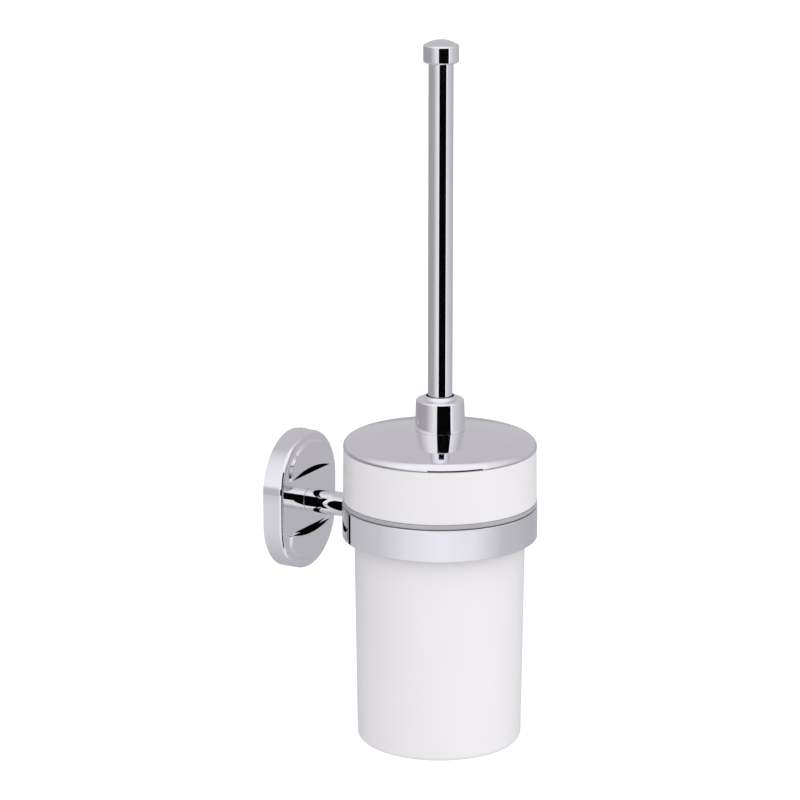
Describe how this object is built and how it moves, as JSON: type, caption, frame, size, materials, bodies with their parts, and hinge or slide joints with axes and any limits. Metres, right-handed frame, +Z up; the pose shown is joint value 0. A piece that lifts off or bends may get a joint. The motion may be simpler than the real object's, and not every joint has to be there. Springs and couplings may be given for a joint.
{
  "type": "toilet brush holder",
  "caption": "Wall-mounted toilet brush holder: stadium rosette, round arm and ring holding a white cup, domed lid and long-handled brush.",
  "frame": {"origin": "centre of the rosette's back on the wall plane", "axes": "+Z up along the handle, +Y into the wall, the arm runs along -Y from the origin to the ring"},
  "size_m": [0.101, 0.1395, 0.3675],
  "materials": {
    "chrome": "polished chrome plating",
    "zinc_plate": "zinc-plated stamped steel",
    "screw_steel": "plain stainless steel",
    "brass": "machined brass",
    "cup_ceramic": "white satin glaze",
    "liner_plastic": "smooth grey plastic",
    "seat_plastic": "dark plastic",
    "bush_nylon": "natural nylon",
    "seal_rubber": "soft black rubber",
    "head_plastic": "white plastic",
    "bristle_nylon": "white filaments"
  },
  "bodies": {
    "wall_side": {"wall_bracket": "zinc_plate", "rosette": "chrome", "rosette_screw": "screw_steel", "arm": "chrome", "arm_screw": "screw_steel", "arm_washer": "screw_steel", "ring_band": "chrome", "ring_screw": "screw_steel", "ring_liner": "liner_plastic"},
    "cup": {"cup": "cup_ceramic"},
    "lid": {"lid_shell": "chrome", "lid_collar": "chrome", "collar_bush": "bush_nylon", "lid_washer": "seal_rubber", "lid_nut": "brass", "lid_seat": "seat_plastic"},
    "brush": {"handle_rod": "chrome", "stop_ring": "bush_nylon", "handle_cap": "chrome", "rod_plug": "brass", "cap_stud": "screw_steel", "head_stud": "brass", "head_washer": "seal_rubber", "brush_head": "head_plastic", "bristles": "bristle_nylon"}
  },
  "joints": [
    {"name": "cup_lift", "type": "slide", "parent": "wall_side", "child": "cup", "axis": [0, 0, 1], "range_m": [0, 0.135]},
    {"name": "brush_lift", "type": "slide", "parent": "cup", "child": "brush", "axis": [0, 0, 1], "range_m": [0, 0.16]},
    {"name": "lid_slide", "type": "slide", "parent": "brush", "child": "lid", "axis": [0, 0, 1], "range_m": [0, 0.17]}
  ]
}
